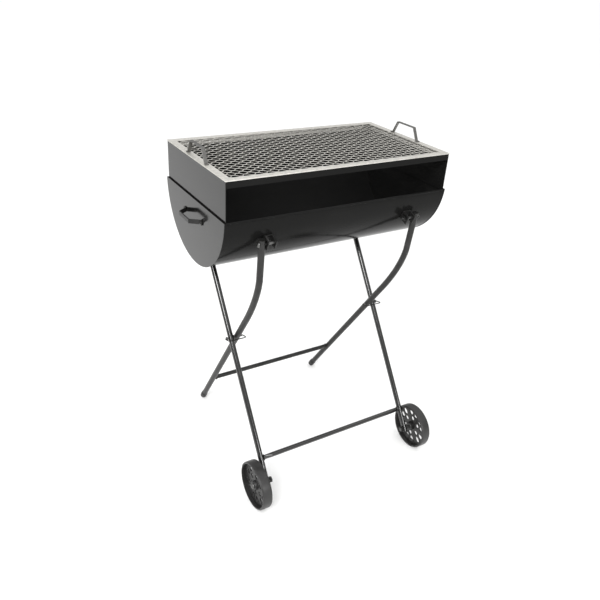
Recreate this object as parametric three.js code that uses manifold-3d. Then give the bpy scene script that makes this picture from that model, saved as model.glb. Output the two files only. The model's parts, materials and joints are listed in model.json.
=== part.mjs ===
// Barrel charcoal grill on a folding trolley, in millimetres, +Z up.
// +X runs along the barrel, -Y is the open front with the wheels, the origin is on the floor.
import * as THREE from 'three';
import { mergeVertices } from 'three/addons/utils/BufferGeometryUtils.js';
import Module from 'manifold-3d';

const wasm = await Module();
wasm.setup();

// Driving dimensions.
const GAP = 0.3;
const SHEET = 1.5;
const BARREL_LENGTH = 690;
const BARREL_R = 188;
const RIM_Z = 844;
const BARREL_DEPTH = 178;
const BARREL_AXIS_Z = RIM_Z - BARREL_DEPTH + BARREL_R;
const HEM_WIDTH = 3;
const HEM_DEPTH = 10;

const GUARD_LENGTH = 681;
const GUARD_DEPTH = 370;
const GUARD_LAP = 8;
const GRID_TOP_Z = 947;
const GRID_FRAME_LENGTH = 683;
const GRID_FRAME_DEPTH = 374;
const GRID_FLANGE = 20;
const GRID_SHEET = 2;
const GRID_LEG = 18;
const GUARD_TOP_Z = GRID_TOP_Z - GRID_SHEET - GAP;
const GUARD_BOTTOM_Z = RIM_Z - GUARD_LAP;
const FRONT_RAIL_HEIGHT = 17;

const MESH_COLUMNS = 10;
const MESH_ROWS = 6;
const MESH_STRAND = 6;

const TUBE_A_R = 9;
const TUBE_B_R = 8;
const TUBE_WALL = 1.2;
const LEG_A_TOP_X = 244;
const LEG_A_FOOT_X = 226;
const LEG_B_X = 255;
const PIVOT = [-190, 775];
// Leg A's length above its pivot, short enough for the end to clear the barrel as the leg turns.
const LEG_A_OVER = 13;
const CROSSING = [-40, 419];
const LEG_A_SLOPE = -1.4523;
const FOOT_Y = 252.7;
const CAP_R = 10.5;
const CAP_LENGTH = 26;
const WHEEL_AXLE = [-284, 71];
const LEG_B_TOP = [172, 722];
const CROSSBAR_R = 7;
const CROSSBAR_A = [148, 146];
const CROSSBAR_B_Z = 125;

const BRACKET_WIDTH = 26;
const BRACKET_SHEET = 3;
const BOLT_R = 4;
const PIN_R = 3;
const WIRE_R = 1.2;
const BAIL_REACH = 26;
const BAIL_ANGLE = THREE.MathUtils.degToRad(165);

const WHEEL_R = 71;
const WHEEL_WIDTH = 30;
const WHEEL_INNER_X = 272;
const RIM_WALL = 6;
const WEB = 5;
const HUB_R = 14;
const AXLE_R = 5;
const SPOKES = 6;

const COLOURS = {
  gloss: { color: 0x161615, roughness: 0.25, metalness: 0.3 },
  galvanised: { color: 0xd2cfc4, roughness: 0.4, metalness: 0.8 },
  satin: { color: 0x2c2b2a, roughness: 0.45, metalness: 0.3 },
  plastic: { color: 0x3b3a3a, roughness: 0.6, metalness: 0 },
  zinc: { color: 0xc9c9c6, roughness: 0.3, metalness: 0.9 },
};

const grill = new THREE.Group();

function add(name, geometry, finish) {
  const mesh = new THREE.Mesh(geometry, new THREE.MeshStandardMaterial(COLOURS[finish]));
  mesh.name = name;
  grill.add(mesh);
}

// Solids: three.js geometry to a manifold and back, for cuts and joins.
function solid(geometry) {
  const bare = geometry.clone();
  bare.deleteAttribute('normal');
  bare.deleteAttribute('uv');
  const merged = mergeVertices(bare, 1e-4);
  const triVerts = new Uint32Array(merged.index.array);
  const vertProperties = new Float32Array(merged.attributes.position.array);
  return new wasm.Manifold(new wasm.Mesh({ numProp: 3, vertProperties, triVerts }));
}

function geometry(body) {
  const mesh = body.getMesh();
  const result = new THREE.BufferGeometry();
  result.setAttribute('position', new THREE.BufferAttribute(new Float32Array(mesh.vertProperties), 3));
  result.setIndex(new THREE.BufferAttribute(new Uint32Array(mesh.triVerts), 1));
  return result;
}

// A block from its lowest to its highest corner.
function block(low, high) {
  const size = high.map((value, i) => value - low[i]);
  const centre = high.map((value, i) => (value + low[i]) / 2);
  return new THREE.BoxGeometry(...size).translate(...centre);
}

// A round rod along X between two x values, at (y, z).
function rodX(x0, x1, y, z, r, sides = 12) {
  const rod = new THREE.CylinderGeometry(r, r, Math.abs(x1 - x0), sides);
  return rod.rotateZ(Math.PI / 2).translate((x0 + x1) / 2, y, z);
}

// A profile of [radius, height] points turned about X, its height running outward along side.
function turnedX(points, x, y, z, side, sides = 20) {
  const lathe = new THREE.LatheGeometry(points.map(([r, h]) => new THREE.Vector2(r, h)), sides);
  return lathe.rotateZ(-side * Math.PI / 2).translate(x, y, z);
}

// An outline in the Y-Z plane carried from x0 to x1.
function plateX(outline, x0, x1) {
  const shape = new THREE.Shape(outline.map(([y, z]) => new THREE.Vector2(y, z)));
  const plate = new THREE.ExtrudeGeometry(shape, { depth: x1 - x0, bevelEnabled: false });
  const turn = new THREE.Matrix4().set(0, 0, 1, x0, 1, 0, 0, 0, 0, 1, 0, 0, 0, 0, 0, 1);
  return plate.applyMatrix4(turn);
}

function arc(r, from, to, steps) {
  return Array.from({ length: steps + 1 }, (_, i) => {
    const t = from + (to - from) * i / steps;
    return [r * Math.cos(t), BARREL_AXIS_Z + r * Math.sin(t)];
  });
}

function mirrored(side) {
  return side < 0 ? 'left' : 'right';
}

// The barrel half: rolled sheet with a doubled hem along each long rim.
function barrelShell() {
  const half = BARREL_LENGTH / 2 - SHEET - GAP;
  const drop = Math.asin((BARREL_AXIS_Z - RIM_Z) / BARREL_R);
  const outer = arc(BARREL_R, Math.PI + drop, 2 * Math.PI - drop, 32);
  const inner = arc(BARREL_R - SHEET, 2 * Math.PI - drop, Math.PI + drop, 32);
  inner[0][1] = RIM_Z;
  inner[inner.length - 1][1] = RIM_Z;
  let shell = solid(plateX([...outer, ...inner], -half, half));
  for (const y of [-1, 1]) {
    const edges = [y * (BARREL_R - 1), y * (BARREL_R + HEM_WIDTH - 1)].sort((a, b) => a - b);
    const hem = block([-half, edges[0], RIM_Z - HEM_DEPTH], [half, edges[1], RIM_Z]);
    shell = shell.add(solid(hem));
  }
  return geometry(shell);
}

function endPlate(side) {
  const drop = Math.asin((BARREL_AXIS_Z - RIM_Z) / BARREL_R);
  const outline = arc(BARREL_R + 1, Math.PI + drop, 2 * Math.PI - drop, 32);
  const outer = side * BARREL_LENGTH / 2;
  const faces = [outer, outer - side * SHEET].sort((a, b) => a - b);
  return plateX(outline, ...faces);
}

// Carrying handle: flat strip bent to a trapezoid, riveted to the end plate by two foot tabs.
const HANDLE_Z = 797;
const HANDLE_FEET = 47;
const HANDLE_GRIP = 30;
const HANDLE_REACH = 24;
const HANDLE_STRIP = 12;
const HANDLE_TAB = 12;
const HANDLE_THICK = 3;

function strip(points, thick) {
  // Offsets a polyline to one side by mitred corners, so it becomes a closed band outline.
  const normals = points.slice(1).map((p, i) => {
    const d = new THREE.Vector2(p[0] - points[i][0], p[1] - points[i][1]).normalize();
    return new THREE.Vector2(-d.y, d.x);
  });
  const offset = points.map((p, i) => {
    const a = normals[Math.max(i - 1, 0)];
    const b = normals[Math.min(i, normals.length - 1)];
    const mitre = a.clone().add(b).normalize();
    const reach = thick / mitre.dot(a);
    return [p[0] + mitre.x * reach, p[1] + mitre.y * reach];
  });
  return new THREE.Shape([...points, ...offset.reverse()].map(([x, y]) => new THREE.Vector2(x, y)));
}

function sideHandle(side) {
  const face = BARREL_LENGTH / 2 + GAP;
  const points = [
    [HANDLE_FEET + HANDLE_TAB, face], [HANDLE_FEET, face], [HANDLE_GRIP, face + HANDLE_REACH],
    [-HANDLE_GRIP, face + HANDLE_REACH], [-HANDLE_FEET, face], [-HANDLE_FEET - HANDLE_TAB, face],
  ];
  const band = new THREE.ExtrudeGeometry(strip(points, -HANDLE_THICK), {
    depth: HANDLE_STRIP, bevelEnabled: false,
  });
  const turn = new THREE.Matrix4().set(
    0, 1, 0, 0,
    1, 0, 0, 0,
    0, 0, -1, HANDLE_Z + HANDLE_STRIP / 2,
    0, 0, 0, 1,
  );
  band.applyMatrix4(turn);
  return side > 0 ? band : band.rotateZ(Math.PI);
}

function handleRivet(side, end) {
  const tab = end * (HANDLE_FEET + HANDLE_TAB / 2 + 1);
  const x = side * (BARREL_LENGTH / 2 + HANDLE_THICK + 2 * GAP);
  const dome = [[0, 0], [4, 0], [3.4, 1.4], [2, 2.3], [0, 2.6]];
  return turnedX(dome, x, tab, HANDLE_Z, side, 14);
}

// A bracket bent from strip: a web against the barrel and two flanges standing out radially.
function bracket(side, pivot, innerX, reach, slotted) {
  const radial = new THREE.Vector2(pivot[0], pivot[1] - BARREL_AXIS_Z);
  const distance = radial.length();
  const angle = Math.atan2(radial.y, radial.x);
  const low = BARREL_R + GAP;
  const high = distance + reach;
  const x0 = innerX;
  const x1 = innerX + BRACKET_WIDTH;
  const half = BRACKET_WIDTH / 2;
  // Built with the radial direction along +Y, then turned about the barrel's axis.
  let body = solid(block([x0, -half, low], [x1, half, low + BRACKET_SHEET]));
  for (const x of [x0, x1 - BRACKET_SHEET]) {
    body = body.add(solid(block([x, -half, low], [x + BRACKET_SHEET, half, high])));
  }
  const hole = rodX(x0 - 1, x1 + 1, 0, distance, BOLT_R + 0.4);
  body = body.subtract(solid(hole));
  if (slotted) {
    const slot = block([x0 - 1, -half - 1, distance - BOLT_R - 0.6], [x1 + 1, 0, distance + BOLT_R + 0.6]);
    body = body.subtract(solid(slot));
  }
  const result = geometry(body);
  result.rotateX(angle - Math.PI / 2).translate(0, 0, BARREL_AXIS_Z);
  return side > 0 ? result : mirrorX(result);
}

// Mirrors a geometry in the plane x = 0 and turns its triangles round again.
function mirrorX(source) {
  const flipped = source.clone().applyMatrix4(new THREE.Matrix4().makeScale(-1, 1, 1));
  const index = flipped.index.array;
  for (let i = 0; i < index.length; i += 3) {
    [index[i], index[i + 1]] = [index[i + 1], index[i]];
  }
  return flipped;
}

// Bolt with a domed head on its outer end, and a plain shaft running inward.
function headedBolt(side, headX, length, r, y, z) {
  const head = r * 1.9;
  const profile = [[0, -length], [r, -length], [r, 0], [head, 0], [head * 0.85, r * 0.6],
    [head * 0.5, r * 0.95], [0, r * 1.05]];
  return turnedX(profile, side * headX, y, z, side, 12);
}

function nut(side, x0, x1, r, y, z) {
  const hex = solid(rodX(side * x0, side * x1, y, z, r * 1.8, 6));
  const bore = solid(rodX(side * (x0 - 2), side * (x1 + 2), y, z, r + GAP));
  return geometry(hex.subtract(bore));
}

const FRONT_BRACKET_X = LEG_A_TOP_X - TUBE_A_R - BRACKET_WIDTH - 1;
const REAR_BRACKET_X = LEG_B_X - TUBE_B_R - BRACKET_WIDTH - 1;

function buildBowl() {
  add('barrel_shell', barrelShell(), 'gloss');
  for (const side of [-1, 1]) {
    const name = mirrored(side);
    add(`end_plate_${name}`, endPlate(side), 'gloss');
    add(`side_handle_${name}`, sideHandle(side), 'satin');
    add(`handle_rivet_${name}_front`, handleRivet(side, -1), 'satin');
    add(`handle_rivet_${name}_back`, handleRivet(side, 1), 'satin');
    add(`front_bracket_${name}`, bracket(side, PIVOT, FRONT_BRACKET_X, 12, false), 'satin');
    add(`rear_bracket_${name}`, bracket(side, LEG_B_TOP, REAR_BRACKET_X, 10, true), 'satin');
    const headX = LEG_A_TOP_X + TUBE_A_R + GAP;
    const tail = FRONT_BRACKET_X - 8;
    add(`pivot_bolt_${name}`, headedBolt(side, headX, headX - tail, BOLT_R, ...PIVOT), 'zinc');
    add(`pivot_nut_${name}`, nut(side, FRONT_BRACKET_X - 7, FRONT_BRACKET_X - GAP, BOLT_R, ...PIVOT), 'zinc');
  }
}

// Wind guard: two side plates, a back plate and a front rail under the grid.
function buildGuard() {
  const halfX = GUARD_LENGTH / 2;
  const halfY = GUARD_DEPTH / 2;
  const sideX = halfX - SHEET;
  for (const side of [-1, 1]) {
    const xs = [side * sideX, side * halfX].sort((a, b) => a - b);
    const outline = [[-halfY, GUARD_BOTTOM_Z + 3], [halfY, GUARD_BOTTOM_Z + 3], [halfY, GUARD_TOP_Z],
      [-halfY, GUARD_TOP_Z]];
    add(`guard_side_${mirrored(side)}`, plateX(outline, ...xs), 'gloss');
  }
  const across = sideX - GAP;
  add('guard_back', block([-across, halfY - SHEET, GUARD_BOTTOM_Z], [across, halfY, GUARD_TOP_Z]), 'gloss');
  const railLow = GUARD_TOP_Z - FRONT_RAIL_HEIGHT;
  add('guard_front_rail', block([-across, -halfY, railLow], [across, -halfY + SHEET, GUARD_TOP_Z]), 'gloss');
  for (const side of [-1, 1]) {
    for (const end of [-1, 1]) {
      const x = side * (sideX - GAP);
      const y = end * (halfY - 12);
      const z = end < 0 ? railLow + FRONT_RAIL_HEIGHT / 2 : (GUARD_TOP_Z + RIM_Z) / 2 - 12;
      const low = [Math.min(x, x - side * 9), Math.min(end * (halfY - SHEET - GAP), end * (halfY - 22)), z - 6];
      const high = [Math.max(x, x - side * 9), Math.max(end * (halfY - SHEET - GAP), end * (halfY - 22)), z + 6];
      add(`guard_corner_${mirrored(side)}_${end < 0 ? 'front' : 'back'}`, cornerClip(low, high, side, end), 'zinc');
    }
  }
}

// A small angle clip that joins a side plate to its neighbour.
function cornerClip(low, high, side, end) {
  const block1 = solid(block(low, high));
  const cut = [low.slice(), high.slice()];
  const t = 2;
  if (side > 0) cut[1][0] -= t; else cut[0][0] += t;
  if (end > 0) cut[1][1] -= t; else cut[0][1] += t;
  cut[0][2] -= 1;
  cut[1][2] += 1;
  if (side > 0) cut[0][0] -= 1; else cut[1][0] += 1;
  if (end > 0) cut[0][1] -= 1; else cut[1][1] += 1;
  return geometry(block1.subtract(solid(block(...cut))));
}

// Cooking grid: an angle-section frame, a diamond lattice welded under it, and two lifting handles.
const GRID_INNER_X = GRID_FRAME_LENGTH / 2 - GRID_FLANGE;
const GRID_INNER_Y = GRID_FRAME_DEPTH / 2 - GRID_FLANGE;
const GRID_LEG_X = GUARD_LENGTH / 2 - SHEET - 3;
const GRID_LEG_Y = GUARD_DEPTH / 2 - SHEET - 3;

function ring(outerX, outerY, innerX, innerY, z0, z1) {
  const outer = solid(block([-outerX, -outerY, z0], [outerX, outerY, z1]));
  const inner = solid(block([-innerX, -innerY, z0 - 1], [innerX, innerY, z1 + 1]));
  return outer.subtract(inner);
}

function gridFrame() {
  const z0 = GRID_TOP_Z - GRID_SHEET;
  const top = ring(GRID_FRAME_LENGTH / 2, GRID_FRAME_DEPTH / 2, GRID_INNER_X, GRID_INNER_Y, z0, GRID_TOP_Z);
  const leg = ring(GRID_LEG_X, GRID_LEG_Y, GRID_LEG_X - GRID_SHEET, GRID_LEG_Y - GRID_SHEET,
    GRID_TOP_Z - GRID_LEG, z0 + 0.5);
  let frame = top.add(leg);
  for (const side of [-1, 1]) {
    for (const end of [-1, 1]) {
      const xs = [side * (GRID_LEG_X - 30), side * (GRID_LEG_X + 4)].sort((a, b) => a - b);
      const ys = [end * (GRID_LEG_Y - 12), end * (GRID_LEG_Y + 4)].sort((a, b) => a - b);
      const notch = block([xs[0], ys[0], GRID_TOP_Z - GRID_LEG - 1], [xs[1], ys[1], z0 - 0.2]);
      frame = frame.subtract(solid(notch));
    }
  }
  return geometry(frame);
}

function gridMesh() {
  const halfX = GRID_LEG_X - GRID_SHEET - GAP;
  const halfY = GRID_LEG_Y - GRID_SHEET - GAP;
  const shape = new THREE.Shape();
  shape.moveTo(-halfX, -halfY);
  shape.lineTo(halfX, -halfY);
  shape.lineTo(halfX, halfY);
  shape.lineTo(-halfX, halfY);
  shape.closePath();
  const pitchX = 2 * GRID_INNER_X / MESH_COLUMNS;
  const pitchY = 2 * GRID_INNER_Y / MESH_ROWS;
  for (let row = 0; row < 2 * MESH_ROWS - 1; row += 1) {
    const y = -GRID_INNER_Y + (row + 1) * pitchY / 2;
    const shift = row % 2;
    for (let column = 0; column < MESH_COLUMNS - shift; column += 1) {
      const x = -GRID_INNER_X + (column + 0.5 + shift / 2) * pitchX;
      const rx = pitchX / 2 - MESH_STRAND;
      const ry = pitchY / 2 - MESH_STRAND * pitchY / pitchX;
      const hole = new THREE.Path();
      hole.moveTo(x - rx, y);
      hole.lineTo(x, y + ry);
      hole.lineTo(x + rx, y);
      hole.lineTo(x, y - ry);
      hole.closePath();
      shape.holes.push(hole);
    }
  }
  const top = GRID_TOP_Z - GRID_SHEET - GAP;
  return new THREE.ExtrudeGeometry(shape, { depth: 2, bevelEnabled: false }).translate(0, 0, top - 2);
}

const LIFT_FEET = 54;
const LIFT_GRIP = 36;
const LIFT_HEIGHT = 34;
const LIFT_STRIP = 10;
const LIFT_TAB = 9;

function gridHandle(side) {
  const base = GRID_TOP_Z + GAP;
  const points = [
    [-LIFT_FEET - LIFT_TAB, base], [-LIFT_FEET, base], [-LIFT_GRIP, base + LIFT_HEIGHT],
    [LIFT_GRIP, base + LIFT_HEIGHT], [LIFT_FEET, base], [LIFT_FEET + LIFT_TAB, base],
  ];
  const band = new THREE.ExtrudeGeometry(strip(points, 2.5), { depth: LIFT_STRIP, bevelEnabled: false });
  const x = side * (GRID_FRAME_LENGTH / 2 - GRID_FLANGE / 2) - LIFT_STRIP / 2;
  const turn = new THREE.Matrix4().set(0, 0, 1, x, 1, 0, 0, 0, 0, 1, 0, 0, 0, 0, 0, 1);
  return band.applyMatrix4(turn);
}

function buildGrid() {
  add('grid_frame', gridFrame(), 'galvanised');
  add('grid_mesh', gridMesh(), 'galvanised');
  for (const side of [-1, 1]) {
    add(`grid_handle_${mirrored(side)}`, gridHandle(side), 'galvanised');
  }
}

function circlePoints(r, sides) {
  return Array.from({ length: sides }, (_, i) => {
    const t = 2 * Math.PI * i / sides;
    return new THREE.Vector2(r * Math.cos(t), r * Math.sin(t));
  });
}

// Tubes: a ring section carried along a path, or straight between two points.
function ringShape(outer, inner, sides) {
  const shape = new THREE.Shape(circlePoints(outer, sides));
  if (inner > 0) {
    shape.holes.push(new THREE.Path(circlePoints(inner, sides)));
  }
  return shape;
}

function tube(curve, outer, inner, steps, sides = 12) {
  return new THREE.ExtrudeGeometry(ringShape(outer, inner, sides), {
    steps, extrudePath: curve, bevelEnabled: false,
  });
}

// Height of the straight lower stretch of leg A at a given y.
function legALine(y) {
  return CROSSING[1] + LEG_A_SLOPE * (y - CROSSING[0]);
}

// x of leg A at a given height: the frame narrows evenly from its pivots to its feet.
function legAX(z) {
  return LEG_A_FOOT_X + (LEG_A_TOP_X - LEG_A_FOOT_X) * z / PIVOT[1];
}

function legAPath(side) {
  const bendEnd = [-106, legALine(-106)];
  const bendStart = [-179, 668];
  const corner = [-166, 605];
  const point = ([y, z]) => new THREE.Vector3(side * legAX(z), y, z);
  const path = new THREE.CurvePath();
  const footZ = legALine(FOOT_Y - 10);
  path.add(new THREE.LineCurve3(point([PIVOT[0] - 1, PIVOT[1] + LEG_A_OVER]), point(bendStart)));
  path.add(new THREE.QuadraticBezierCurve3(point(bendStart), point(corner), point(bendEnd)));
  path.add(new THREE.LineCurve3(point(bendEnd), point([FOOT_Y - 10, footZ])));
  return path;
}

function legA(side) {
  const path = legAPath(side);
  const body = solid(tube(path, TUBE_A_R, TUBE_A_R - TUBE_WALL, 20));
  const reach = LEG_A_TOP_X + 30;
  const pivotHole = rodX(side * (LEG_A_FOOT_X - 30), side * reach, ...PIVOT, BOLT_R + GAP);
  const pinHole = rodX(side * (LEG_A_FOOT_X - 30), side * reach, ...CROSSING, PIN_R + GAP);
  return geometry(body.subtract(solid(pivotHole)).subtract(solid(pinHole)));
}

// Rubber foot: a sleeve over the tube's end, closed and rounded at the bottom.
function footCap(side) {
  const down = new THREE.Vector2(FOOT_Y - CROSSING[0], legALine(FOOT_Y) - CROSSING[1]).normalize();
  const endY = FOOT_Y - 10;
  const inner = TUBE_A_R + GAP;
  const profile = [[inner, 0], [CAP_R, 0], [CAP_R, CAP_LENGTH - 5], [CAP_R - 1.5, CAP_LENGTH - 1.5],
    [CAP_R - 5, CAP_LENGTH], [0, CAP_LENGTH], [0, CAP_LENGTH - 5], [inner, CAP_LENGTH - 5], [inner, 0]];
  const lathe = new THREE.LatheGeometry(profile.map(([r, h]) => new THREE.Vector2(r, h)), 16);
  const slant = side * (LEG_A_FOOT_X - LEG_A_TOP_X) / PIVOT[1];
  const direction = new THREE.Vector3(-slant * down.y, down.x, down.y).normalize();
  const turn = new THREE.Quaternion().setFromUnitVectors(new THREE.Vector3(0, 1, 0), direction);
  const seat = new THREE.Vector3(side * legAX(legALine(endY)), endY, legALine(endY));
  seat.addScaledVector(direction, -(CAP_LENGTH - 5 - GAP));
  lathe.applyQuaternion(turn).translate(seat.x, seat.y, seat.z);
  return lathe;
}

// Cross bar with ends cut to seat against the legs.
function crossbar(halfLength, y, z, r) {
  return tube(new THREE.LineCurve3(new THREE.Vector3(-halfLength, y, z), new THREE.Vector3(halfLength, y, z)),
    r, r - TUBE_WALL, 1);
}

function buildFrameA() {
  for (const side of [-1, 1]) {
    add(`leg_a_${mirrored(side)}`, legA(side), 'satin');
    add(`foot_cap_${mirrored(side)}`, footCap(side), 'plastic');
  }
  const half = legAX(CROSSBAR_A[1]) - TUBE_A_R - 2 * GAP;
  add('crossbar_a', crossbar(half, CROSSBAR_A[0], legALine(CROSSBAR_A[0]), CROSSBAR_R), 'satin');
}

// Leg B runs straight from the wheel axle to the rear bracket, and on past both a little.
const LEG_B_RISE = new THREE.Vector2(LEG_B_TOP[0] - WHEEL_AXLE[0], LEG_B_TOP[1] - WHEEL_AXLE[1]).normalize();

function legBPoint(distance, from, side) {
  return new THREE.Vector3(side * LEG_B_X, from[0] + LEG_B_RISE.x * distance, from[1] + LEG_B_RISE.y * distance);
}

function legB(side) {
  const line = new THREE.LineCurve3(legBPoint(-10, WHEEL_AXLE, side), legBPoint(10, LEG_B_TOP, side));
  let body = solid(tube(line, TUBE_B_R, TUBE_B_R - TUBE_WALL, 1));
  const x0 = side * (LEG_B_X - 20);
  const x1 = side * (LEG_B_X + 20);
  body = body.subtract(solid(rodX(x0, x1, ...WHEEL_AXLE, AXLE_R + GAP)));
  body = body.subtract(solid(rodX(x0, x1, ...CROSSING, PIN_R + GAP)));
  body = body.subtract(solid(rodX(x0, x1, ...LEG_B_TOP, BOLT_R + GAP)));
  return geometry(body);
}

// Push-in plug that closes the tube's open end.
function legBPlug(side, from, outward) {
  const profile = [[0, -6], [TUBE_B_R - TUBE_WALL - GAP, -6], [TUBE_B_R - TUBE_WALL - GAP, GAP],
    [TUBE_B_R, GAP], [TUBE_B_R - 1, 2], [0, 3]];
  const plug = new THREE.LatheGeometry(profile.map(([r, h]) => new THREE.Vector2(r, h)), 14);
  const direction = new THREE.Vector3(0, LEG_B_RISE.x, LEG_B_RISE.y).multiplyScalar(outward);
  plug.applyQuaternion(new THREE.Quaternion().setFromUnitVectors(new THREE.Vector3(0, 1, 0), direction));
  const seat = legBPoint(10 * outward, from, side);
  return plug.translate(seat.x, seat.y, seat.z);
}

function buildFrameB() {
  for (const side of [-1, 1]) {
    const name = mirrored(side);
    add(`leg_b_${name}`, legB(side), 'satin');
    add(`leg_b_plug_${name}`, legBPlug(side, LEG_B_TOP, 1), 'plastic');
    const headX = LEG_B_X + TUBE_B_R + GAP;
    add(`rear_stud_${name}`, headedBolt(side, headX, headX - REAR_BRACKET_X + 6, BOLT_R, ...LEG_B_TOP), 'zinc');
    const tip = WHEEL_INNER_X + WHEEL_WIDTH / 2 + 12;
    const tail = LEG_B_X - TUBE_B_R - 9;
    add(`axle_bolt_${name}`, headedBolt(side, tip, tip - tail, AXLE_R, ...WHEEL_AXLE), 'zinc');
    add(`axle_nut_${name}`, nut(side, tail + 1, LEG_B_X - TUBE_B_R - GAP, AXLE_R, ...WHEEL_AXLE), 'zinc');
    add(`crossing_washer_${name}`, washer(side), 'zinc');
  }
  const along = (CROSSBAR_B_Z - WHEEL_AXLE[1]) / LEG_B_RISE.y;
  const seat = legBPoint(along, WHEEL_AXLE, 1);
  add('crossbar_b', crossbar(LEG_B_X - TUBE_B_R - GAP, seat.y, seat.z, CROSSBAR_R), 'satin');
}

// Washer between the two legs at their crossing.
function washer(side) {
  const outer = LEG_B_X - TUBE_B_R - GAP;
  const inner = legAX(CROSSING[1]) + TUBE_A_R + 2 * GAP;
  const disc = solid(rodX(side * inner, side * outer, ...CROSSING, PIN_R * 2.4));
  return geometry(disc.subtract(solid(rodX(side * (inner - 2), side * (outer + 2), ...CROSSING, PIN_R + GAP))));
}

// Moulded wheel: a dished rim, a thin web with three windows in each of six sectors, and a hub.
function wheelWindows() {
  const windows = [];
  for (let spoke = 0; spoke < SPOKES; spoke += 1) {
    const middle = (spoke + 0.5) * 2 * Math.PI / SPOKES;
    windows.push([28.5, middle, 8, 7.5]);
    for (const turn of [-1, 1]) {
      windows.push([49.5, middle + turn * 0.22, 11, 8.5]);
    }
  }
  return windows;
}

function windowPath([radius, angle, long, wide]) {
  const path = new THREE.Path();
  const x = radius * Math.cos(angle);
  const y = radius * Math.sin(angle);
  path.absellipse(x, y, long, wide, 0, 2 * Math.PI, false, angle);
  return path;
}

function wheel(side) {
  const half = WHEEL_WIDTH / 2;
  const inside = WHEEL_R - RIM_WALL;
  const shape = new THREE.Shape();
  shape.setFromPoints(circlePoints(inside + 1, 30));
  shape.holes = wheelWindows().map(windowPath);
  const web = new THREE.ExtrudeGeometry(shape, { depth: WEB, bevelEnabled: false, curveSegments: 3 });
  web.translate(0, 0, -WEB / 2);
  web.applyMatrix4(new THREE.Matrix4().set(0, 0, 1, 0, 1, 0, 0, 0, 0, 1, 0, 0, 0, 0, 0, 1));
  const rim = [[inside, -half + 1], [inside + 1, -half], [WHEEL_R - 3, -half], [WHEEL_R - 1, -half + 2],
    [WHEEL_R, -half + 5], [WHEEL_R, half - 5], [WHEEL_R - 1, half - 2], [WHEEL_R - 3, half],
    [inside + 1, half], [inside, half - 1], [inside, -half + 1]];
  const hub = [[0, -half], [HUB_R - 2, -half], [HUB_R, -half + 6], [HUB_R, half - 6], [HUB_R - 2, half - 4],
    [0, half - 4]];
  let body = solid(web);
  body = body.add(solid(turnedX(rim, 0, 0, 0, 1, 30)));
  body = body.add(solid(turnedX(hub, 0, 0, 0, 1, 14)));
  body = body.subtract(solid(rodX(-half - 1, half + 1, 0, 0, AXLE_R + GAP, 12)));
  const x = side * (WHEEL_INNER_X + half);
  const shape3 = geometry(body);
  return (side > 0 ? shape3 : mirrorX(shape3)).translate(x, WHEEL_AXLE[0], WHEEL_AXLE[1]);
}

// Crossing pin: a straight pin through both legs, and its sprung wire bail.
const PIN_HEAD_X = LEG_B_X + TUBE_B_R + 3;
const PIN_TAIL_X = legAX(CROSSING[1]) - TUBE_A_R - 8;

function lockPin(side) {
  const length = PIN_HEAD_X - PIN_TAIL_X;
  const profile = [[0, -length], [PIN_R - 0.8, -length], [PIN_R, -length + 2], [PIN_R, 0], [PIN_R + 2.5, 0],
    [PIN_R + 2.5, 3], [PIN_R + 1, 4.5], [0, 4.5]];
  return turnedX(profile, side * PIN_HEAD_X, ...CROSSING, side, 12);
}

function lockBail(side) {
  const out = PIN_HEAD_X + 4.5 + GAP + WIRE_R;
  const inner = PIN_TAIL_X - GAP - WIRE_R;
  const at = (x, reach) => new THREE.Vector3(
    side * x,
    CROSSING[0] + reach * Math.cos(BAIL_ANGLE),
    CROSSING[1] + reach * Math.sin(BAIL_ANGLE),
  );
  const round = 9;
  const path = new THREE.CurvePath();
  path.add(new THREE.LineCurve3(at(out, 0), at(out, BAIL_REACH - round)));
  path.add(new THREE.QuadraticBezierCurve3(at(out, BAIL_REACH - round), at(out, BAIL_REACH),
    at(out - round, BAIL_REACH)));
  path.add(new THREE.LineCurve3(at(out - round, BAIL_REACH), at(inner + round, BAIL_REACH)));
  path.add(new THREE.QuadraticBezierCurve3(at(inner + round, BAIL_REACH), at(inner, BAIL_REACH),
    at(inner, BAIL_REACH - round)));
  path.add(new THREE.LineCurve3(at(inner, BAIL_REACH - round), at(inner, 0)));
  return tube(path, WIRE_R, 0, 14, 6);
}

function buildRunningGear() {
  for (const side of [-1, 1]) {
    add(`wheel_${mirrored(side)}`, wheel(side), 'plastic');
    add(`lock_pin_${mirrored(side)}`, lockPin(side), 'zinc');
    add(`lock_bail_${mirrored(side)}`, lockBail(side), 'zinc');
  }
}

buildBowl();
buildGuard();
buildGrid();
buildFrameA();
buildFrameB();
buildRunningGear();

// The origin is moved to the middle of the footprint, on the floor.
const bounds = new THREE.Box3().setFromObject(grill, true);
const middle = bounds.getCenter(new THREE.Vector3());
grill.position.set(-middle.x, -middle.y, -bounds.min.z);

export default grill;
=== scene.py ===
import json
import math

import bmesh
import bpy
import numpy as np
from mathutils import Matrix, Vector


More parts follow.
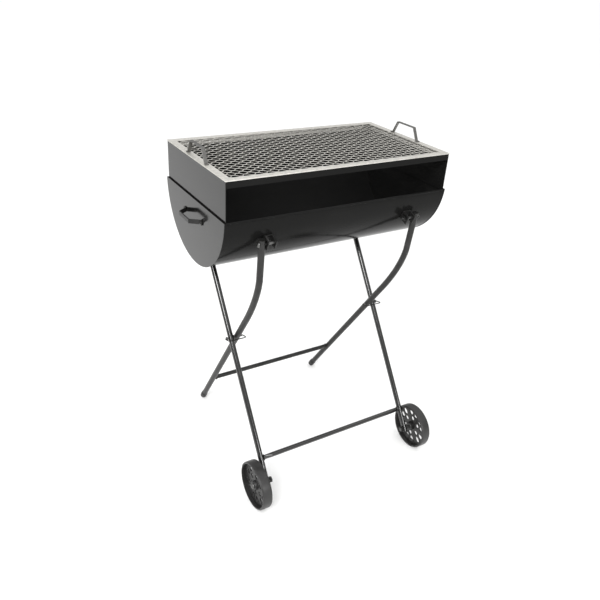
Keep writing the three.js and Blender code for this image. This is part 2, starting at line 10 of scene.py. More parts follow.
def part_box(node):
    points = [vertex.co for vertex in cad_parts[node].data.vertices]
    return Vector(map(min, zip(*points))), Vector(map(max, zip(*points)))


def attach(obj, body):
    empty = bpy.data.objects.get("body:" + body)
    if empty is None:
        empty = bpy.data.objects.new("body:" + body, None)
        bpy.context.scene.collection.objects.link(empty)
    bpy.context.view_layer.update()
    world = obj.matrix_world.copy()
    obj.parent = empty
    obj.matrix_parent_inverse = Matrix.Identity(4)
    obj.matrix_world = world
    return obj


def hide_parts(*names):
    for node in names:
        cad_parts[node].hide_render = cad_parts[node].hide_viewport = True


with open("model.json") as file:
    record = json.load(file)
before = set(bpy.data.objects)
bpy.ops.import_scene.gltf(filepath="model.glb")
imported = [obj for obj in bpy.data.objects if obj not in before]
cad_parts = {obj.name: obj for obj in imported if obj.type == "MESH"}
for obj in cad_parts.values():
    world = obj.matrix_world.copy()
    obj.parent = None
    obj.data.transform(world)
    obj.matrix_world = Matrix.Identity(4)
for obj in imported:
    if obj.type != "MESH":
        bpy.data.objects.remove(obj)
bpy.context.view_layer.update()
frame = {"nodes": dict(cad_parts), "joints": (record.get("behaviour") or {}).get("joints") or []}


# ---- Studio: a pale floor, a white room and a camera that looks down on the front left corner.
# The floor is a plain sheet, and the soft light comes from two large panels and the room itself.
def add_node(tree, kind, settings=None, **sockets):
    """A node with its settings, then its sockets set or linked, by name or by number as in s0."""
    made = tree.nodes.new(kind)
    for key, value in (settings or {}).items():
        setattr(made, key, value)
    for key, value in sockets.items():
        numbered = key[0] == "s" and key[1:].isdigit()
        place = made.inputs[int(key[1:]) if numbered else key.replace("_", " ")]
        if isinstance(value, Shade):
            tree.links.new(value.socket, place)
        else:
            place.default_value = value
    return made


class Shade:
    """One shader socket. Adding, multiplying and so on build Math nodes from it."""

    def __init__(self, tree, socket):
        self.tree, self.socket = tree, socket

    def math(self, operation, *values):
        numbered = {f"s{place}": value for place, value in enumerate(values)}
        node = add_node(self.tree, "ShaderNodeMath", {"operation": operation}, **numbered)
        return Shade(self.tree, node.outputs[0])

    def __add__(self, other):
        return self.math("ADD", self, other)

    def __radd__(self, other):
        return self.math("ADD", other, self)

    def __sub__(self, other):
        return self.math("SUBTRACT", self, other)

    def __rsub__(self, other):
        return self.math("SUBTRACT", other, self)

    def __mul__(self, other):
        return self.math("MULTIPLY", self, other)

    def __rmul__(self, other):
        return self.math("MULTIPLY", other, self)

    def ramp(self, low, high):
        """0 below low, 1 above high, and a smooth rise between."""
        node = add_node(self.tree, "ShaderNodeMapRange", {"interpolation_type": "SMOOTHSTEP"},
                        Value=self, From_Min=low, From_Max=high)
        return Shade(self.tree, node.outputs["Result"])


class Finish:
    """A material under construction: its tree, its main shader and short ways to add nodes."""

    def __init__(self, name):
        self.material = bpy.data.materials.new(name)
        self.material.use_nodes = True
        self.tree = self.material.node_tree
        self.surface = self.tree.nodes["Principled BSDF"]

    def node(self, kind, settings=None, **sockets):
        return add_node(self.tree, kind, settings, **sockets)

    def place(self, scale=(1, 1, 1)):
        """Object coordinates, stretched by scale."""
        coordinates = self.node("ShaderNodeTexCoord")
        mapping = self.node("ShaderNodeMapping", Vector=Shade(self.tree, coordinates.outputs["Object"]))
        mapping.inputs["Scale"].default_value = scale
        return Shade(self.tree, mapping.outputs["Vector"])

    def noise(self, scale, detail=3.0, roughness=0.5, stretch=(1, 1, 1)):
        made = self.node("ShaderNodeTexNoise", Vector=self.place(stretch), Scale=scale, Detail=detail,
                         Roughness=roughness)
        return Shade(self.tree, made.outputs["Fac"])

    def cells(self, scale):
        made = self.node("ShaderNodeTexVoronoi", Vector=self.place(), Scale=scale)
        return Shade(self.tree, made.outputs["Distance"]), Shade(self.tree, made.outputs["Color"])

    def mix(self, factor, one, other):
        """Colour between one and other."""
        made = self.node("ShaderNodeMix", {"data_type": "RGBA"}, s0=factor, s6=one, s7=other)
        return Shade(self.tree, made.outputs[2])

    def bump(self, height, strength, distance):
        made = self.node("ShaderNodeBump", Height=height, Strength=strength, Distance=distance)
        self.tree.links.new(made.outputs["Normal"], self.surface.inputs["Normal"])

    def wire(self, **sockets):
        for key, value in sockets.items():
            place = self.surface.inputs[key.replace("_", " ")]
            if isinstance(value, Shade):
                self.tree.links.new(value.socket, place)
            else:
                place.default_value = value
        return self


FLOOR_HALF = 40.0
floor_mesh = bpy.data.meshes.new("studio_floor")
floor_mesh.from_pydata([(-FLOOR_HALF, -FLOOR_HALF, 0), (FLOOR_HALF, -FLOOR_HALF, 0),
                        (FLOOR_HALF, FLOOR_HALF, 0), (-FLOOR_HALF, FLOOR_HALF, 0)], [], [(0, 1, 2, 3)])
floor = bpy.data.objects.new("studio_floor", floor_mesh)
bpy.context.scene.collection.objects.link(floor)
floor_finish = Finish("pale_floor").wire(Base_Color=(0.93, 0.93, 0.925, 1), Roughness=0.9)
floor.data.materials.append(floor_finish.material)

world = bpy.data.worlds.new("white_room")
bpy.context.scene.world = world
world.use_nodes = True


def white_room(tree, overhead, horizon, seen_white):
    """White where it is seen directly; as a light it is bright overhead and dim near the horizon."""
    coordinates = add_node(tree, "ShaderNodeTexCoord")
    split = add_node(tree, "ShaderNodeSeparateXYZ", s0=Shade(tree, coordinates.outputs["Generated"]))
    height = Shade(tree, split.outputs["Z"]).ramp(-0.05, 0.85)
    seen = Shade(tree, add_node(tree, "ShaderNodeLightPath").outputs["Is Camera Ray"])
    light = add_node(tree, "ShaderNodeMix", {"data_type": "RGBA"}, s0=height,
                     s6=(horizon, horizon, horizon, 1), s7=(overhead, overhead, overhead, 1))
    shown = add_node(tree, "ShaderNodeMix", {"data_type": "RGBA"}, s0=seen,
                     s6=Shade(tree, light.outputs[2]), s7=(seen_white, seen_white, seen_white, 1))
    tree.links.new(shown.outputs[2], tree.nodes["Background"].inputs["Color"])


white_room(world.node_tree, 1.35, 0.16, 1.05)


def soft_panel(name, place, aim, size, power):
    """A square light panel at place, turned to face aim."""
    light = bpy.data.lights.new(name, "AREA")
    light.size = size
    light.energy = power
    lamp = bpy.data.objects.new(name, light)
    bpy.context.scene.collection.objects.link(lamp)
    lamp.location = place
    lamp.rotation_mode = "QUATERNION"
    lamp.rotation_quaternion = (Vector(aim) - Vector(place)).to_track_quat("-Z", "Y")


soft_panel("key_panel", (-2.6, -2.2, 2.9), (0, 0, 0.6), 1.5, 120)
soft_panel("front_panel", (0.4, -3.2, 1.2), (0, 0, 0.6), 0.7, 26)

AZIMUTH = math.radians(-32.62)
ELEVATION = math.radians(28.88)
ROLL = math.radians(3.85)
DISTANCE = 1.960
LENS = 37.82
# The camera aims at a point below the barrel's middle.
barrel_low, barrel_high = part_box("barrel_shell")
barrel_y = (barrel_low.y + barrel_high.y) / 2
aim = Vector((0, barrel_y, 0.4654))
back = Vector((math.sin(AZIMUTH) * math.cos(ELEVATION), -math.cos(AZIMUTH) * math.cos(ELEVATION),
               math.sin(ELEVATION)))
right = Vector((0, 0, 1)).cross(back).normalized()
up = back.cross(right)
turned_right = math.cos(ROLL) * right + math.sin(ROLL) * up
turned_up = math.cos(ROLL) * up - math.sin(ROLL) * right
camera = bpy.data.objects.new("camera", bpy.data.cameras.new("camera"))
bpy.context.scene.collection.objects.link(camera)
camera.data.lens = LENS
camera.data.sensor_width = 36
camera.matrix_world = Matrix((turned_right, turned_up, back)).transposed().to_4x4()
camera.location = aim + back * DISTANCE
bpy.context.scene.camera = camera
bpy.context.scene.view_settings.view_transform = "Standard"


# ---- Barrel: half a drum rolled from black enamelled sheet, with a hem turned over along each long rim.
# Two flat end plates, a little larger than the drum, close it and are welded round the curve.
def enamel(name, gloss, dust, shine, inside=None):
    """Gloss black enamel: near black under a clear surface, orange peel, faint dust and wipe marks."""
    finish = Finish(name)
    peel = finish.noise(220, 2)
    wipe = finish.noise(9, 4, 0.6, (1, 1, 2.5))
    specks = finish.noise(900, 1).ramp(0.66, 0.75)
    cover = wipe.ramp(0.45, 0.8) * dust + specks * dust * 1.6
    rough = wipe * 0.1 + gloss
    if inside:
        rough = rough + inside(finish) * 0.4
    finish.wire(Base_Color=finish.mix(cover, (0.008, 0.008, 0.0078, 1), (0.1, 0.099, 0.092, 1)),
                Roughness=rough, Specular_IOR_Level=shine)
    finish.bump(peel, 0.06, 0.0004)
    return finish.material


def new_piece(name, vertices, faces, material, body, *nodes, slot=None, smooth=True):
    """Makes a piece from its vertices and faces, rides it on its body and stands it for CAD nodes."""
    mesh = bpy.data.meshes.new(name)
    mesh.from_pydata(np.asarray(vertices, float).reshape(-1, 3).tolist(), [], faces)
    mesh.update()
    made = bpy.data.objects.new(name, mesh)
    bpy.context.scene.collection.objects.link(made)
    mesh.materials.append(material)
    right_way_out(mesh)
    if smooth:
        mesh.polygons.foreach_set("use_smooth", np.ones(len(mesh.polygons), bool))
        sharp_edges(mesh)
    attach(made, body)
    if nodes:
        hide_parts(*nodes)
    return made


def right_way_out(mesh):
    """Turns every face of a closed mesh outwards."""
    work = bmesh.new()
    work.from_mesh(mesh)
    bmesh.ops.remove_doubles(work, verts=work.verts, dist=1e-6)
    bmesh.ops.recalc_face_normals(work, faces=work.faces)
    work.to_mesh(mesh)
    work.free()


SHARP = math.radians(38)


def sharp_edges(mesh):
    """Marks the edges that turn by more than the sharp angle, so shading breaks there."""
    work = bmesh.new()
    work.from_mesh(mesh)
    for edge in work.edges:
        edge.smooth = len(edge.link_faces) == 2 and edge.calc_face_angle(0) < SHARP
    work.to_mesh(mesh)
    work.free()


def grid_faces(rows, columns, close_rows=False, close_columns=True):
    """Quads of a rows by columns grid of vertices, joined round in either direction if asked."""
    last_row = rows if close_rows else rows - 1
    last_column = columns if close_columns else columns - 1
    r, c = np.meshgrid(np.arange(last_row), np.arange(last_column), indexing="ij")
    r2, c2 = (r + 1) % rows, (c + 1) % columns
    quads = np.stack([r * columns + c, r * columns + c2, r2 * columns + c2, r2 * columns + c], -1)
    return quads.reshape(-1, 4).tolist()


def capped(rows, columns):
    """Faces of a tube of rows rings with columns points each, and a flat face on both ends."""
    faces = grid_faces(rows, columns)
    faces.append(list(range(columns))[::-1])
    faces.append(list(range((rows - 1) * columns, rows * columns)))
    return faces


shell_low, shell_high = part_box("barrel_shell")
plate_low, plate_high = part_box("end_plate_left")
RIM = shell_high.z
HEM = 0.003
SHEET = 0.0015
drum_half = (shell_high.x - shell_low.x) / 2
drum_y = (shell_low.y + shell_high.y) / 2
drum_radius = (shell_high.y - shell_low.y) / 2 - HEM + 0.001
drum_axis_z = shell_low.z + drum_radius
rim_angle = math.asin((drum_axis_z - RIM) / drum_radius)


def inside_drum(finish):
    """1 where the surface lies nearer the drum's axis than half the sheet: the smoked inner face."""
    coordinates = finish.node("ShaderNodeTexCoord")
    split = finish.node("ShaderNodeSeparateXYZ", Vector=Shade(finish.tree, coordinates.outputs["Object"]))
    y = Shade(finish.tree, split.outputs["Y"]) - drum_y
    z = Shade(finish.tree, split.outputs["Z"]) - drum_axis_z
    limit = drum_radius - SHEET / 2
    return 1 - (y * y + z * z).ramp((limit - 0.0003) ** 2, (limit + 0.0003) ** 2)


drum_enamel = enamel("barrel_enamel", 0.1, 0.02, 0.05, inside_drum)

turn = np.linspace(math.pi + rim_angle, 2 * math.pi - rim_angle, 97)
outer = np.stack([drum_radius * np.cos(turn), drum_radius * np.sin(turn)], 1)
inner = np.stack([(drum_radius - SHEET) * np.cos(turn), (drum_radius - SHEET) * np.sin(turn)], 1)[::-1]


def rolled_hem(side):
    """Half a bead round the sheet's edge: a small circle arc from outside, over the top, to inside."""
    t = np.linspace(-2.3, math.pi / 2 + 0.4, 9)
    r = 0.0021
    y = side * (drum_radius * math.cos(rim_angle) + 0.0002 + r * np.cos(t))
    z = RIM - drum_axis_z - r + r * np.sin(t)
    return np.stack([y, z], 1)


section = np.vstack([rolled_hem(-1)[::-1], outer[2:-2], rolled_hem(1), inner])
stations = np.linspace(-drum_half, drum_half, 3)
shell = np.stack([np.broadcast_to(stations[:, None], (3, len(section))),
                  np.broadcast_to(section[:, 0] + drum_y, (3, len(section))),
                  np.broadcast_to(section[:, 1] + drum_axis_z, (3, len(section)))], -1)
new_piece("drum_shell", shell, capped(3, len(section)), drum_enamel, "bowl", "barrel_shell",
          slot="gloss_black")

plate_turn = np.linspace(math.pi + rim_angle, 2 * math.pi - rim_angle, 121)
plate_radius = (plate_high.y - plate_low.y) / 2 / math.cos(rim_angle)
plate_enamel = enamel("end_plate_enamel", 0.09, 0.06, 0.42)


def end_plate(side):
    """Half disc: rings at shrinking insets give the plate a small rounded edge on both faces."""
    arc = np.stack([np.cos(plate_turn), np.sin(plate_turn)], 1)
    low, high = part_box("end_plate_left" if side < 0 else "end_plate_right")
    middle = Vector((0, (low.y + high.y) / 2, low.z + plate_radius))
    thick = (high.x - low.x) / 2
    edge = 0.0004
    rings = []
    for depth, inset in ((-thick, edge), (-thick + edge, 0), (thick - edge, 0), (thick, edge)):
        ring = arc * (plate_radius - inset)
        ring[:, 1] = np.minimum(ring[:, 1], RIM - middle.z - inset)
        x = np.full(len(ring), (low.x + high.x) / 2 + depth)
        rings.append(np.stack([x, ring[:, 0] + middle.y, ring[:, 1] + middle.z], 1))
    name = "left" if side < 0 else "right"
    return new_piece(f"drum_end_{name}", np.array(rings), capped(4, len(plate_turn)), plate_enamel, "bowl",
                     f"end_plate_{name}", slot="gloss_black")


for side in (-1, 1):
    end_plate(side)


# ---- Carrying handles, brackets and their fasteners: bent steel strip with softened corners, powder coated.
# The handles are riveted to the end plates, the brackets are welded under the drum.
def powder_coat(name, base, rough, shine):
    """Satin black powder coat: fine orange peel, edges a touch lighter by wear noise."""
    finish = Finish(name)
    grain = finish.noise(600, 2)
    patch = finish.noise(30, 3, 0.6)
    colour = finish.mix(patch.ramp(0.4, 0.75), (base, base * 0.98, base * 0.95, 1),
                        (base * 1.9, base * 1.85, base * 1.8, 1))
    finish.wire(Base_Color=colour, Roughness=patch * 0.12 + rough, Specular_IOR_Level=shine)
    finish.bump(grain, 0.12, 0.0003)
    return finish.material


def plated(name, tint, rough):
    """Zinc plate: bright metal with fine streaks and duller clouds."""
    finish = Finish(name)
    cloud = finish.noise(120, 3, 0.6)
    streak = finish.noise(900, 2, 0.5, (0.2, 1, 1))
    colour = finish.mix(cloud, (*tint, 1), tuple(c * 0.72 for c in tint) + (1,))
    finish.wire(Base_Color=colour, Metallic=1.0, Roughness=cloud * 0.2 + rough)
    finish.bump(streak, 0.08, 0.0002)
    return finish.material


def softened(node, body, material, radius, segments=2):
    """A merged copy of a CAD node with its sharp corners rounded, standing for that node."""
    source = frame["nodes"][node].data
    mesh = source.copy()
    mesh.name = node + "_finished"
    work = bmesh.new()
    work.from_mesh(mesh)
    bmesh.ops.remove_doubles(work, verts=work.verts, dist=2e-6)
    bmesh.ops.dissolve_limit(work, angle_limit=0.01, verts=work.verts, edges=work.edges)
    work.to_mesh(mesh)
    work.free()
    mesh.materials.clear()
    mesh.materials.append(material)
    made = bpy.data.objects.new(node + "_finished", mesh)
    bpy.context.scene.collection.objects.link(made)
    mesh.polygons.foreach_set("use_smooth", np.ones(len(mesh.polygons), bool))
    sharp_edges(mesh)
    if radius:
        bevel = made.modifiers.new("rounded", "BEVEL")
        bevel.width = radius
        bevel.segments = segments
        bevel.limit_method = "ANGLE"
        bevel.angle_limit = SHARP
        bevel.harden_normals = False
        bevel.use_clamp_overlap = True
    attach(made, body)
    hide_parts(node)
    return made


strip_coat = powder_coat("strip_powder_coat", 0.008, 0.28, 0.3)
fastener_zinc = plated("fastener_zinc", (0.16, 0.16, 0.157), 0.34)
for name in ("left", "right"):
    softened(f"side_handle_{name}", "bowl", strip_coat, 0.0008)
    for end in ("front", "back"):
        softened(f"handle_rivet_{name}_{end}", "bowl", strip_coat, 0)
    for bracket in ("front_bracket", "rear_bracket"):
        softened(f"{bracket}_{name}", "bowl", strip_coat, 0.0007)
    softened(f"pivot_bolt_{name}", "bowl", fastener_zinc, 0.0003, 1)
    softened(f"pivot_nut_{name}", "bowl", strip_coat, 0.0005)


# ---- Wind guard: flat enamelled plates standing in the drum, joined by small clips at the corners.
# The front is left open below a narrow rail, so charcoal can be fed under the grid.
side_enamel = enamel("guard_side_enamel", 0.11, 0.05, 0.4)
back_enamel = enamel("guard_back_enamel", 0.2, 0.03, 0.15)
rail_enamel = enamel("rail_enamel", 0.2, 0.015, 0.05)
for name in ("guard_side_left", "guard_side_right"):
    softened(name, "guard", side_enamel, 0.0004)
softened("guard_back", "guard", back_enamel, 0.0004)
softened("guard_front_rail", "guard", rail_enamel, 0.0004)
for side in ("left", "right"):
    for end in ("front", "back"):
        softened(f"guard_corner_{side}_{end}", "guard", fastener_zinc, 0.0004)


# ---- Cooking grid: an angle-section frame of galvanised steel with expanded metal welded under its flange.
# A bent strip handle stands at each end for lifting it off.
def galvanised(name, rough, tone):
    """Galvanised steel: pale warm metal with small crystals, duller clouds and faint rolling streaks."""
    finish = Finish(name)
    edge, crystal = finish.cells(160)
    shade = finish.node("ShaderNodeSeparateColor", Color=crystal)
    spangle = Shade(finish.tree, shade.outputs[0])
    cloud = finish.noise(14, 4, 0.6)
    mixture = spangle * 0.45 + cloud * 0.55
    finish.wire(Base_Color=finish.mix(mixture, (0.82 * tone, 0.8 * tone, 0.75 * tone, 1),
                                      (0.5 * tone, 0.487 * tone, 0.45 * tone, 1)),
                Metallic=0.55, Roughness=mixture * 0.2 + rough)
    finish.bump(edge, 0.05, 0.0003)
    return finish.material


frame_zinc = galvanised("grid_frame_galvanised", 0.3, 0.9)
mesh_zinc = galvanised("grid_mesh_galvanised", 0.34, 0.75)
handle_zinc = plated("grid_handle_zinc", (0.2, 0.197, 0.188), 0.32)
softened("grid_frame", "grid", frame_zinc, 0.0004)
for name in ("left", "right"):
    softened(f"grid_handle_{name}", "grid", handle_zinc, 0.0007)

DIAMOND_LONG = 0.0315
DIAMOND_SHORT = 0.0225
STRAND_WIDE = 0.0018
STRAND_THICK = 0.0011
STRAND_TILT = -0.3
BOND = 0.16
SHOULDER = 0.86


def expanded_metal(low, high):
    """Zigzag strands along X. Each strand swings half a diamond to and fro with a flat at each bond,
    neighbours swing opposite ways and meet there, and the rectangular section leans over."""
    columns = round((high.x - low.x) / DIAMOND_LONG)
    strands = 2 * round((high.y - low.y) / DIAMOND_SHORT)
    long = (high.x - low.x) / columns
    gap = (high.y - low.y) / strands
    steps = np.array([0, BOND, 0.5 - BOND, 0.5, 0.5 + BOND, 1 - BOND])
    swing = np.array([1, SHOULDER, -SHOULDER, -1, -SHOULDER, SHOULDER])
    x = (np.arange(columns)[:, None] + steps[None, :]).ravel() * long
    x = np.append(x, columns * long) + low.x
    wave = np.append(np.tile(swing, columns), 1.0)
    reach = gap / 2 - STRAND_WIDE * 0.28
    signs = np.where(np.arange(strands) % 2 == 0, 1, -1)
    middle = low.y + (np.arange(strands) + 0.5) * gap
    y = middle[:, None] + signs[:, None] * wave[None, :] * reach
    slope = np.gradient(y, x, axis=1)
    length = np.sqrt(1 + slope ** 2)
    normal_x, normal_y = -slope / length, 1 / length
    wide, thick = STRAND_WIDE / 2, STRAND_THICK / 2
    level = (low.z + high.z) / 2
    corners = []
    for u, v in ((-1, -1), (1, -1), (1, 1), (-1, 1)):
        sideways = u * wide * math.cos(STRAND_TILT) - v * thick * math.sin(STRAND_TILT)
        upward = u * wide * math.sin(STRAND_TILT) + v * thick * math.cos(STRAND_TILT)
        corners.append(np.stack([x[None, :] + normal_x * sideways, y + normal_y * sideways,
                                 np.broadcast_to(level + upward, y.shape)], -1))
    points = np.stack(corners, 2)
    faces, count = [], points.shape[1] * 4
    one = capped(points.shape[1], 4)
    for strand in range(strands):
        faces += [[corner + strand * count for corner in face] for face in one]
    return points, faces


mesh_low, mesh_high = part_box("grid_mesh")
points, faces = expanded_metal(mesh_low, mesh_high)
new_piece("expanded_metal", points, faces, mesh_zinc, "grid", "grid_mesh", slot="galvanised", smooth=False)


# ---- Leg tubes: round steel tube, bent on the front pair and straight on the wheel pair, powder coated.
# Each pair is tied by a welded cross bar whose ends are pressed flat.
TUBE_SIDES = 28


def swept(path, radii, sides=TUBE_SIDES):
    """Rings round each point of a path, square to it, with a radius for each point."""
    path = np.asarray(path, float)
    ahead = np.gradient(path, axis=0)
    ahead /= np.linalg.norm(ahead, axis=1)[:, None]
    across = np.cross(ahead, (1.0, 0.02, 0.01) if abs(ahead[0][0]) < 0.9 else (0, 0, 1.0))
    across /= np.linalg.norm(across, axis=1)[:, None]
    other = np.cross(ahead, across)
    angle = np.linspace(0, 2 * math.pi, sides, endpoint=False)
    wide = radii[:, None, None] * np.cos(angle)[None, :, None]
    thin = radii[:, None, None] * np.sin(angle)[None, :, None]
    return path[:, None, :] + across[:, None, :] * wide + other[:, None, :] * thin


def smooth_path(points, rounds, steps=14):
    """A polyline with rounded corners: each corner is a quadratic arc cut back by its own distance."""
    points = [np.array(p, float) for p in points]
    out = [points[0]]
    for before, corner, after, cut in zip(points, points[1:], points[2:], rounds):
        start = corner + (before - corner) / np.linalg.norm(before - corner) * cut
        end = corner + (after - corner) / np.linalg.norm(after - corner) * cut
        t = np.linspace(0, 1, steps)[:, None]
        out += list((1 - t) ** 2 * start + 2 * t * (1 - t) * corner + t ** 2 * end)
    out.append(points[-1])
    return np.array(out)


leg_a_coat = powder_coat("front_leg_powder_coat", 0.012, 0.34, 0.3)
leg_b_coat = powder_coat("wheel_leg_powder_coat", 0.006, 0.08, 0.8)
joint_at = {joint["name"]: np.array(joint.get("pos_m", (0, 0, 0))) for joint in frame["joints"]}
pivot, crossing = joint_at["leg_fold"], joint_at["scissor_fold"]
TUBE_A, TUBE_B = 0.009, 0.008
leg_drop = -1.4523
leg_foot_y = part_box("leg_a_left")[1].y - 0.008
TOP_X, FOOT_X, LEG_B_X = 0.244, 0.226, 0.255


def leg_a_x(z):
    """Half the front legs' spacing at a height: they draw together evenly towards the feet."""
    return FOOT_X + (TOP_X - FOOT_X) * z / pivot[2]


PIVOT_TO_AXIS = 0.190
OVER_PIVOT = 0.013
BEND_START, BEND_CORNER, BEND_END_Y = (-0.179, 0.668), (-0.166, 0.605), -0.106


def straight(y):
    """Height of the leg's straight lower stretch, which passes through the crossing pin."""
    return crossing[2] + leg_drop * (y - crossing[1])


def leg_a_path(side):
    """Down from the pivot, round one long bend, and straight back to the foot."""
    shift = pivot[1] + PIVOT_TO_AXIS
    bend_end = BEND_END_Y + shift
    marks = [(pivot[1] - 0.001, pivot[2] + OVER_PIVOT), (BEND_START[0] + shift, BEND_START[1]),
             (BEND_CORNER[0] + shift, BEND_CORNER[1]), (bend_end, straight(bend_end)),
             (leg_foot_y, straight(leg_foot_y))]
    at = [np.array((side * leg_a_x(z), y, z)) for y, z in marks]
    t = np.linspace(0, 1, 30)[:, None]
    bend = (1 - t) ** 2 * at[1] + 2 * t * (1 - t) * at[2] + t ** 2 * at[3]
    upper = at[0] + (at[1] - at[0]) * np.linspace(0, 0.96, 5)[:, None]
    lower = at[3] + (at[4] - at[3]) * np.linspace(0.04, 1, 9)[:, None]
    return np.vstack([upper, bend, lower])


for side, name in ((-1, "left"), (1, "right")):
    path = leg_a_path(side)
    rings = swept(path, np.full(len(path), TUBE_A))
    new_piece(f"front_leg_{name}", rings, capped(len(path), TUBE_SIDES), leg_a_coat, "frame_a",
              f"leg_a_{name}", slot="satin_black")

axle, top = joint_at["wheel_left_spin"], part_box("rear_stud_left")
top_y = (top[0].y + top[1].y) / 2
top_z = (top[0].z + top[1].z) / 2
rise = np.array((0, top_y - axle[1], top_z - axle[2]))
rise /= np.linalg.norm(rise)
for side, name in ((-1, "left"), (1, "right")):
    start = np.array((side * LEG_B_X, axle[1], axle[2])) - rise * 0.010
    end = np.array((side * LEG_B_X, top_y, top_z)) + rise * 0.010
    path = start + (end - start) * np.linspace(0, 1, 12)[:, None]
    rings = swept(path, np.full(len(path), TUBE_B))
    new_piece(f"wheel_leg_{name}", rings, capped(len(path), TUBE_SIDES), leg_b_coat, "frame_b",
              f"leg_b_{name}", slot="satin_black")
    softened(f"leg_b_plug_{name}", "frame_b", strip_coat, 0.0002, 1)


PRESSED_LENGTH = 0.03
PRESSED_THIN = 0.45
STATIONS = 9


def cross_bar(name, node, coat, body):
    """Straight tube along X, pressed thin from front to back and taller over its last stretch at each end."""
    low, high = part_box(node)
    radius = (high.z - low.z) / 2
    x = np.concatenate([np.linspace(low.x, low.x + PRESSED_LENGTH, STATIONS),
                        np.linspace(high.x - PRESSED_LENGTH, high.x, STATIONS)])
    near_end = np.minimum(x - low.x, high.x - x) / PRESSED_LENGTH
    press = PRESSED_THIN + (1 - PRESSED_THIN) * (3 * near_end ** 2 - 2 * near_end ** 3)
    rows = len(x)
    path = np.stack([x, np.full(rows, (low.y + high.y) / 2), np.full(rows, (low.z + high.z) / 2)], 1)
    angle = np.linspace(0, 2 * math.pi, TUBE_SIDES, endpoint=False)
    thin = (radius * press)[:, None] * np.cos(angle)[None, :]
    tall = (radius * (1 + 0.5 * (1 - press)))[:, None] * np.sin(angle)[None, :]
    rings = path[:, None, :] + np.stack([0 * thin, thin, tall], -1)
    new_piece(name, rings, capped(rows, TUBE_SIDES), coat, body, node, slot="satin_black")


cross_bar("front_cross_bar", "crossbar_a", leg_a_coat, "frame_a")
cross_bar("wheel_cross_bar", "crossbar_b", leg_b_coat, "frame_b")


# ---- Weld beads: a small lumpy ring where each cross bar meets its leg.
# They are steel, painted with the frame.
def weld_bead(name, centre, axis_radius, coat, body, side):
    """A torus about X whose small radius ripples round the ring."""
    around = np.linspace(0, 2 * math.pi, 40, endpoint=False)
    tube_turn = np.linspace(0, 2 * math.pi, 10, endpoint=False)
    lump = 0.0016 * (1 + 0.22 * np.sin(around * 11))
    radius = axis_radius + lump[:, None] * np.cos(tube_turn)[None, :]
    x = centre[0] + side * lump[:, None] * np.sin(tube_turn)[None, :]
    y = centre[1] + radius * np.cos(around)[:, None] * 0.75
    z = centre[2] + radius * np.sin(around)[:, None]
    new_piece(name, np.stack([x, y, z], -1), grid_faces(40, 10, close_rows=True), coat, body,
              slot="satin_black")


for node, coat, body in (("crossbar_a", leg_a_coat, "frame_a"), ("crossbar_b", leg_b_coat, "frame_b")):
    low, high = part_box(node)
    for side, name in ((-1, "left"), (1, "right")):
        centre = (side * (high.x - 0.001), (low.y + high.y) / 2, (low.z + high.z) / 2)
        weld_bead(f"{node}_weld_{name}", centre, 0.0085, coat, body, side)


# ---- Feet, wheels and axle fasteners: black moulded plastic with a fine texture.
# A wheel has a wide dished rim, a thin web with three windows in each of six sectors, and a long hub.
def moulded_plastic(name, base, rough):
    """Moulded black plastic: spark-etched grain, faint scuffs that are lighter and duller."""
    finish = Finish(name)
    grain = finish.noise(1400, 2)
    scuff = finish.noise(55, 5, 0.7).ramp(0.5, 0.78)
    colour = finish.mix(scuff, (base, base * 0.97, base * 0.96, 1), (base * 2.1, base * 2.05, base * 2, 1))
    finish.wire(Base_Color=colour, Roughness=scuff * 0.18 + rough)
    finish.bump(grain, 0.15, 0.0002)
    return finish.material


def turned(profile, sides=64):
    """A profile of (radius, height) points spun round the height axis, which lies along X."""
    profile = np.asarray(profile, float)
    angle = np.linspace(0, 2 * math.pi, sides, endpoint=False)
    x = np.broadcast_to(profile[:, 1][:, None], (len(profile), sides))
    y = profile[:, 0][:, None] * np.cos(angle)[None, :]
    z = profile[:, 0][:, None] * np.sin(angle)[None, :]
    return np.stack([x, y, z], -1)


wheel_plastic = moulded_plastic("wheel_plastic", 0.014, 0.42)
cap_plastic = moulded_plastic("foot_plastic", 0.01, 0.5)
for name in ("left", "right"):
    softened(f"foot_cap_{name}", "frame_a", cap_plastic, 0.0004)

WHEEL_RADIUS = 0.071
RIM_WALL = 0.006
WEB_THICK = 0.005


def wheel_web():
    """A flat disc with eighteen rounded windows, as a filled curve with rounded edges, made a mesh."""
    curve = bpy.data.curves.new("wheel_web", "CURVE")
    curve.dimensions = "2D"
    curve.fill_mode = "BOTH"
    curve.extrude = WEB_THICK / 2 - 0.0007
    curve.bevel_depth = 0.0007
    curve.bevel_resolution = 2
    rings = [(0, 0, WHEEL_RADIUS - RIM_WALL + 0.001, WHEEL_RADIUS - RIM_WALL + 0.001, 0, 72)]
    for sector in range(6):
        middle = (sector + 0.5) * math.pi / 3
        rings.append((0.0285, middle, 0.008, 0.0075, middle, 24))
        for turn_by in (-0.22, 0.22):
            rings.append((0.0495, middle + turn_by, 0.011, 0.0085, middle + turn_by, 28))
    for distance, angle, long, wide, lean, count in rings:
        t = np.linspace(0, 2 * math.pi, count, endpoint=False)
        u, v = long * np.cos(t), wide * np.sin(t)
        x = distance * math.cos(angle) + u * math.cos(lean) - v * math.sin(lean)
        y = distance * math.sin(angle) + u * math.sin(lean) + v * math.cos(lean)
        spline = curve.splines.new("POLY")
        spline.points.add(count - 1)
        spline.points.foreach_set("co", np.stack([x, y, 0 * x, 0 * x + 1], 1).ravel())
        spline.use_cyclic_u = True
    holder = bpy.data.objects.new("wheel_web_outline", curve)
    bpy.context.scene.collection.objects.link(holder)
    mesh = bpy.data.meshes.new_from_object(holder.evaluated_get(bpy.context.evaluated_depsgraph_get()))
    bpy.data.objects.remove(holder)
    return mesh


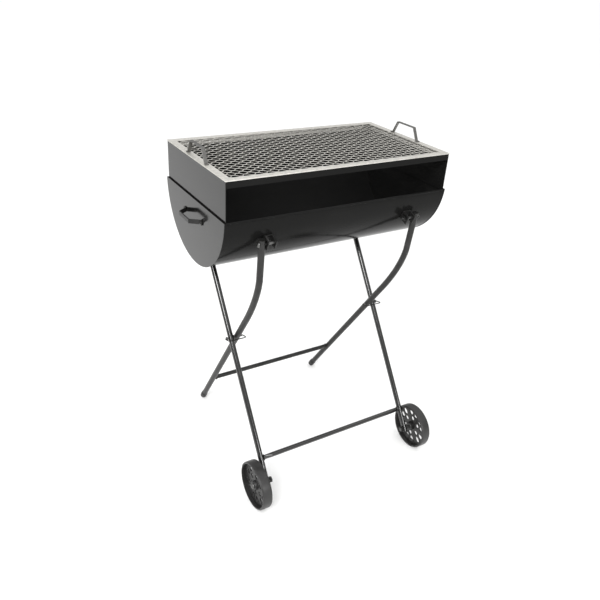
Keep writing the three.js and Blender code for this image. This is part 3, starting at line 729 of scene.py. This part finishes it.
half = (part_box("wheel_left")[1].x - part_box("wheel_left")[0].x) / 2
inside = WHEEL_RADIUS - RIM_WALL
rim_profile = [(inside, -half + 0.001), (inside + 0.001, -half), (WHEEL_RADIUS - 0.003, -half),
               (WHEEL_RADIUS - 0.0012, -half + 0.0008), (WHEEL_RADIUS - 0.0003, -half + 0.003),
               (WHEEL_RADIUS, -half + 0.006), (WHEEL_RADIUS, half - 0.006),
               (WHEEL_RADIUS - 0.0003, half - 0.003),
               (WHEEL_RADIUS - 0.0012, half - 0.0008), (WHEEL_RADIUS - 0.003, half), (inside + 0.001, half),
               (inside, half - 0.001)]
hub_profile = [(0.0052, -half), (0.012, -half), (0.0138, -half + 0.002), (0.014, half - 0.006),
               (0.0125, half - 0.004), (0.0052, half - 0.004)]
web = wheel_web()
for side, name in ((-1, "left"), (1, "right")):
    low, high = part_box(f"wheel_{name}")
    centre = np.array(((low.x + high.x) / 2, axle[1], axle[2]))
    rim = turned(rim_profile, 96) * (side, 1, 1) + centre
    new_piece(f"wheel_rim_{name}", rim, grid_faces(len(rim_profile), 96, close_rows=True), wheel_plastic,
              f"wheel_{name}", f"wheel_{name}", slot="black_plastic")
    hub = turned(hub_profile, 40) * (side, 1, 1) + centre
    new_piece(f"wheel_hub_{name}", hub, grid_faces(len(hub_profile), 40, close_rows=True), wheel_plastic,
              f"wheel_{name}", slot="black_plastic")
    flat = np.empty(len(web.vertices) * 3)
    web.vertices.foreach_get("co", flat)
    flat = flat.reshape(-1, 3)[:, [2, 0, 1]] + centre
    new_piece(f"wheel_web_{name}", flat, [list(face.vertices) for face in web.polygons], wheel_plastic,
              f"wheel_{name}", slot="black_plastic")
    softened(f"axle_bolt_{name}", "frame_b", fastener_zinc, 0.0003, 1)
    softened(f"axle_nut_{name}", "frame_b", strip_coat, 0.0005)
    softened(f"rear_stud_{name}", "frame_b", fastener_zinc, 0.0003, 1)
    softened(f"crossing_washer_{name}", "frame_b", fastener_zinc, 0.0002, 1)


# ---- Crossing pins: a zinc pin with a small head through both legs, and a sprung wire bail that holds it.
wire_zinc = plated("bail_wire_zinc", (0.03, 0.03, 0.029), 0.4)
BAIL_TURN = math.radians(165)
BAIL_REACH = 0.026
BAIL_CORNER = 0.009
WIRE_SIDES = 10
WIRE_INSET = 0.0012
WIRE_RADIUS = 0.0015
for name in ("left", "right"):
    softened(f"lock_pin_{name}", "frame_a", fastener_zinc, 0.0003, 1)
    low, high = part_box(f"lock_bail_{name}")
    direction = np.array((0, math.cos(BAIL_TURN), math.sin(BAIL_TURN)))
    near = np.array((0, crossing[1], crossing[2]))
    reach = direction * BAIL_REACH
    left_x, right_x = low.x + WIRE_INSET, high.x - WIRE_INSET
    corners = [near + (left_x, 0, 0), near + reach + (left_x, 0, 0), near + reach + (right_x, 0, 0),
               near + (right_x, 0, 0)]
    path = smooth_path(corners, (BAIL_CORNER, BAIL_CORNER))
    rings = swept(path, np.full(len(path), WIRE_RADIUS), sides=WIRE_SIDES)
    new_piece(f"bail_wire_{name}", rings, capped(len(path), WIRE_SIDES), wire_zinc, f"bail_{name}",
              f"lock_bail_{name}", slot="zinc")
